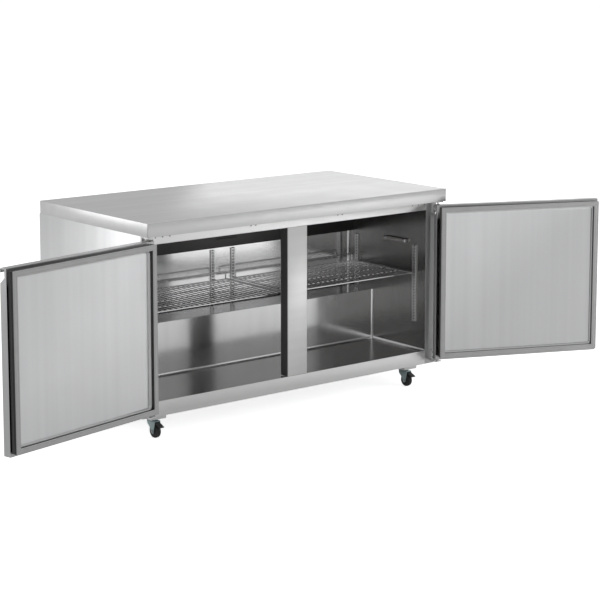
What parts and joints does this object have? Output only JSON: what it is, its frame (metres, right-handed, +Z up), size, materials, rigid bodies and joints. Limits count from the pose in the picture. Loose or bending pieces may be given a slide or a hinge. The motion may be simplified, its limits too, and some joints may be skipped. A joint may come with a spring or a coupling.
{
  "type": "undercounter refrigerator",
  "caption": "Stainless steel undercounter refrigerator with worktop, hinged insulated doors standing open, wire shelves, rear cooling unit and swivel casters",
  "frame": {"origin": "middle of the whole object's bounding box, doors open as at rest, on the floor under the casters", "axes": "+X to the right seen from the doors, doors face -Y, +Z up"},
  "size_m": [2.871, 1.0902, 0.864],
  "materials": {
    "brushed_steel": "fine brushed stainless sheet",
    "worktop_steel": "brushed stainless worktop",
    "liner_steel": "smooth stainless liner",
    "foam": "rigid polyurethane foam",
    "gasket": "soft grey magnetic seal",
    "shelf_wire": "bright wire",
    "zinc": "zinc plated pressed steel",
    "wheel_rubber": "black tread",
    "black_plastic": "moulded plastic",
    "fins": "finned coil",
    "compressor_black": "black enamel",
    "thermometer_case": "clear faced case"
  },
  "bodies": {
    "cabinet": {"worktop": "worktop_steel", "side_panel_left": "brushed_steel", "side_panel_right": "brushed_steel", "header_rail": "brushed_steel", "base_rail": "brushed_steel", "mullion": "brushed_steel", "back_panel": "brushed_steel", "rear_grille": "brushed_steel", "base_pan": "brushed_steel", "foam_left": "foam", "foam_right": "foam", "foam_top": "foam", "foam_floor": "foam", "foam_rear": "foam", "liner_left": "liner_steel", "liner_right": "liner_steel", "liner_ceiling": "liner_steel", "liner_floor": "liner_steel", "liner_rear": "liner_steel", "pilaster_left_front": "liner_steel", "pilaster_left_rear": "liner_steel", "pilaster_left_mullion": "liner_steel", "pilaster_left_back": "liner_steel", "pilaster_right_front": "liner_steel", "pilaster_right_rear": "liner_steel", "pilaster_right_mullion": "liner_steel", "pilaster_right_back": "liner_steel", "thermometer": "thermometer_case", "evaporator_cover": "liner_steel", "evaporator_coil": "fins", "compressor": "compressor_black", "condenser_coil": "fins", "condenser_shroud": "brushed_steel", "control_box": "black_plastic", "condensate_pan": "black_plastic", "power_inlet": "black_plastic", "hinge_bracket_left_top": "brushed_steel", "hinge_bracket_left_bottom": "brushed_steel", "hinge_bracket_right_top": "brushed_steel", "hinge_bracket_right_bottom": "brushed_steel"},
    "evaporator_fan": {"evaporator_fan": "black_plastic"},
    "condenser_fan": {"condenser_fan": "black_plastic"},
    "left_door": {"left_door_shell": "brushed_steel", "left_door_panel": "liner_steel", "left_door_gasket": "gasket"},
    "left_shelf": {"left_shelf": "shelf_wire"},
    "right_door": {"right_door_shell": "brushed_steel", "right_door_panel": "liner_steel", "right_door_gasket": "gasket"},
    "right_shelf": {"right_shelf": "shelf_wire"},
    "caster_front_left": {"caster_front_left_fork": "zinc"},
    "wheel_front_left": {"caster_front_left_wheel": "wheel_rubber"},
    "brake_front_left": {"brake_pedal_front_left": "black_plastic"},
    "caster_front_right": {"caster_front_right_fork": "zinc"},
    "wheel_front_right": {"caster_front_right_wheel": "wheel_rubber"},
    "brake_front_right": {"brake_pedal_front_right": "black_plastic"},
    "caster_rear_left": {"caster_rear_left_fork": "zinc"},
    "wheel_rear_left": {"caster_rear_left_wheel": "wheel_rubber"},
    "caster_rear_right": {"caster_rear_right_fork": "zinc"},
    "wheel_rear_right": {"caster_rear_right_wheel": "wheel_rubber"}
  },
  "joints": [
    {"name": "left_door_hinge", "type": "hinge", "parent": "cabinet", "child": "left_door", "pos_m": [-0.71557, -0.2252, 0.45], "axis": [0, 0, 1], "range_deg": [-2.4, 167.6]},
    {"name": "right_door_hinge", "type": "hinge", "parent": "cabinet", "child": "right_door", "pos_m": [0.75363, -0.2252, 0.45], "axis": [0, 0, 1], "range_deg": [-156.8, 13.2]},
    {"name": "left_shelf_lift", "type": "slide", "parent": "cabinet", "child": "left_shelf", "axis": [0, 0, 1], "range_m": [0, 0.012]},
    {"name": "right_shelf_lift", "type": "slide", "parent": "cabinet", "child": "right_shelf", "axis": [0, 0, 1], "range_m": [0, 0.012]},
    {"name": "evaporator_fan_spin", "type": "hinge", "parent": "cabinet", "child": "evaporator_fan", "pos_m": [0.01903, 0.3566, 0.69775], "axis": [0, 1, 0], "continuous": true},
    {"name": "condenser_fan_spin", "type": "hinge", "parent": "cabinet", "child": "condenser_fan", "pos_m": [0.24903, 0.4416, 0.2129], "axis": [0, 1, 0], "continuous": true},
    {"name": "caster_front_left_swivel", "type": "hinge", "parent": "cabinet", "child": "caster_front_left", "pos_m": [-0.63597, -0.1034, 0.07], "axis": [0, 0, 1], "continuous": true},
    {"name": "wheel_front_left_roll", "type": "hinge", "parent": "caster_front_left", "child": "wheel_front_left", "pos_m": [-0.63597, -0.1234, 0.0275], "axis": [1, 0, 0], "continuous": true},
    {"name": "brake_front_left_press", "type": "hinge", "parent": "caster_front_left", "child": "brake_front_left", "pos_m": [-0.63597, -0.1294, 0.0598], "axis": [1, 0, 0], "range_deg": [0, 15]},
    {"name": "caster_front_right_swivel", "type": "hinge", "parent": "cabinet", "child": "caster_front_right", "pos_m": [0.67403, -0.1034, 0.07], "axis": [0, 0, 1], "continuous": true},
    {"name": "wheel_front_right_roll", "type": "hinge", "parent": "caster_front_right", "child": "wheel_front_right", "pos_m": [0.67403, -0.1234, 0.0275], "axis": [1, 0, 0], "continuous": true},
    {"name": "brake_front_right_press", "type": "hinge", "parent": "caster_front_right", "child": "brake_front_right", "pos_m": [0.67403, -0.1294, 0.0598], "axis": [1, 0, 0], "range_deg": [0, 15]},
    {"name": "caster_rear_left_swivel", "type": "hinge", "parent": "cabinet", "child": "caster_rear_left", "pos_m": [-0.63597, 0.4666, 0.07], "axis": [0, 0, 1], "continuous": true},
    {"name": "wheel_rear_left_roll", "type": "hinge", "parent": "caster_rear_left", "child": "wheel_rear_left", "pos_m": [-0.63597, 0.4466, 0.0275], "axis": [1, 0, 0], "continuous": true},
    {"name": "caster_rear_right_swivel", "type": "hinge", "parent": "cabinet", "child": "caster_rear_right", "pos_m": [0.67403, 0.4666, 0.07], "axis": [0, 0, 1], "continuous": true},
    {"name": "wheel_rear_right_roll", "type": "hinge", "parent": "caster_rear_right", "child": "wheel_rear_right", "pos_m": [0.67403, 0.4466, 0.0275], "axis": [1, 0, 0], "continuous": true}
  ]
}
